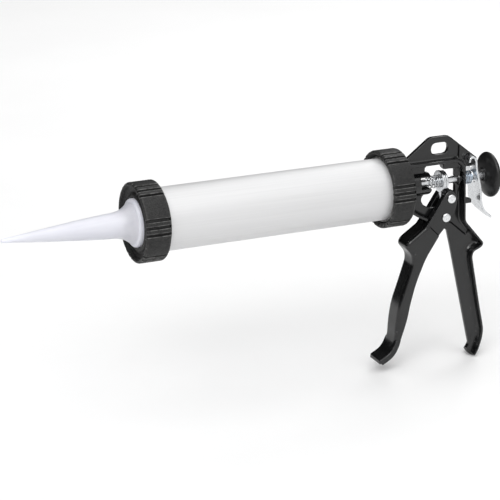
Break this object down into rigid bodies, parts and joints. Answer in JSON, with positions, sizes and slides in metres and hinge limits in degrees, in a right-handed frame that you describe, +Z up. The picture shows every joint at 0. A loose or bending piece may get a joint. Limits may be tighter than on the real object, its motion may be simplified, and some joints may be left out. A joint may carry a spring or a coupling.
{
  "type": "caulking gun",
  "caption": "Closed-barrel caulking gun: metal tube with screw-on front cap and cone nozzle, die-cast frame with grip and trigger, push rod with piston and knob, release lever.",
  "frame": {"origin": "centre of the hanging slot in the frame's top web, on the tool's middle plane", "axes": "+X towards the nozzle, along the barrel; +Y to the user's left, square to the web; +Z up"},
  "size_m": [0.4513, 0.067, 0.206],
  "materials": {
    "black_paint": "satin black enamel on a die casting",
    "ring_plastic": "fine-grained dark grey moulded plastic",
    "tube_aluminium": "satin anodised tube, very light",
    "zinc": "bright zinc-plated steel",
    "nozzle_plastic": "translucent bluish white polyethylene, satin",
    "knob_plastic": "glossy black",
    "cup_rubber": "dark matt",
    "white_plastic": "off-white, satin"
  },
  "bodies": {
    "frame": {"frame_casting": "black_paint", "lever_pin": "black_paint", "release_spring": "zinc"},
    "trigger": {"trigger": "black_paint", "pivot_rivet": "zinc", "drive_pin": "zinc"},
    "drive": {"thrust_washer": "zinc", "drive_plate_front": "zinc", "drive_plate_rear": "zinc", "return_spring": "zinc"},
    "release_lever": {"release_lever": "zinc"},
    "push_rod": {"push_rod": "zinc", "knob": "knob_plastic", "knob_nut": "zinc", "piston_washer": "zinc", "piston_cup": "cup_rubber", "piston_plate": "white_plastic", "piston_nut": "zinc"},
    "ring_nut": {"rear_ring_nut": "ring_plastic"},
    "barrel": {"barrel_tube": "tube_aluminium", "rear_collar": "ring_plastic", "front_collar": "ring_plastic"},
    "nozzle_seat": {"front_seat": "white_plastic", "nozzle": "nozzle_plastic"},
    "front_cap": {"front_cap": "ring_plastic"}
  },
  "joints": [
    {"name": "trigger_pivot", "type": "hinge", "parent": "frame", "child": "trigger", "pos_m": [-0.0047, 0, -0.0609], "axis": [0, 1, 0], "range_deg": [0, 20], "stiffness_Nm_per_rad": 1.2, "springref_deg": -14.32},
    {"name": "drive_slide", "type": "slide", "parent": "frame", "child": "drive", "axis": [1, 0, 0], "range_m": [0, 0.006], "deforming": ["return_spring"]},
    {"name": "release_hinge", "type": "hinge", "parent": "frame", "child": "release_lever", "pos_m": [-0.0283, 0, -0.0127], "axis": [0, -1, 0], "range_deg": [0, 5], "stiffness_Nm_per_rad": 0.5, "springref_deg": -11.46, "deforming": ["release_spring"]},
    {"name": "rod_slide", "type": "slide", "parent": "frame", "child": "push_rod", "axis": [1, 0, 0], "range_m": [-0.19, 0]},
    {"name": "ring_nut_turn", "type": "hinge", "parent": "frame", "child": "ring_nut", "pos_m": [0.05, 0, -0.03], "axis": [1, 0, 0], "range_deg": [-720, 0]},
    {"name": "barrel_unscrew", "type": "slide", "parent": "frame", "child": "barrel", "axis": [1, 0, 0], "range_m": [0, 0.0081]},
    {"name": "nozzle_seat_slide", "type": "slide", "parent": "barrel", "child": "nozzle_seat", "axis": [1, 0, 0], "range_m": [0, 0.0081]},
    {"name": "cap_turn", "type": "hinge", "parent": "nozzle_seat", "child": "front_cap", "pos_m": [0.27, 0, -0.03], "axis": [1, 0, 0], "range_deg": [0, 720]}
  ],
  "couplings": [
    {"joint": "drive_slide", "follows": "trigger_pivot", "m_per_rad": 0.01696},
    {"joint": "barrel_unscrew", "follows": "ring_nut_turn", "m_per_rad": -0.00063662},
    {"joint": "nozzle_seat_slide", "follows": "cap_turn", "m_per_rad": 0.00063662}
  ]
}
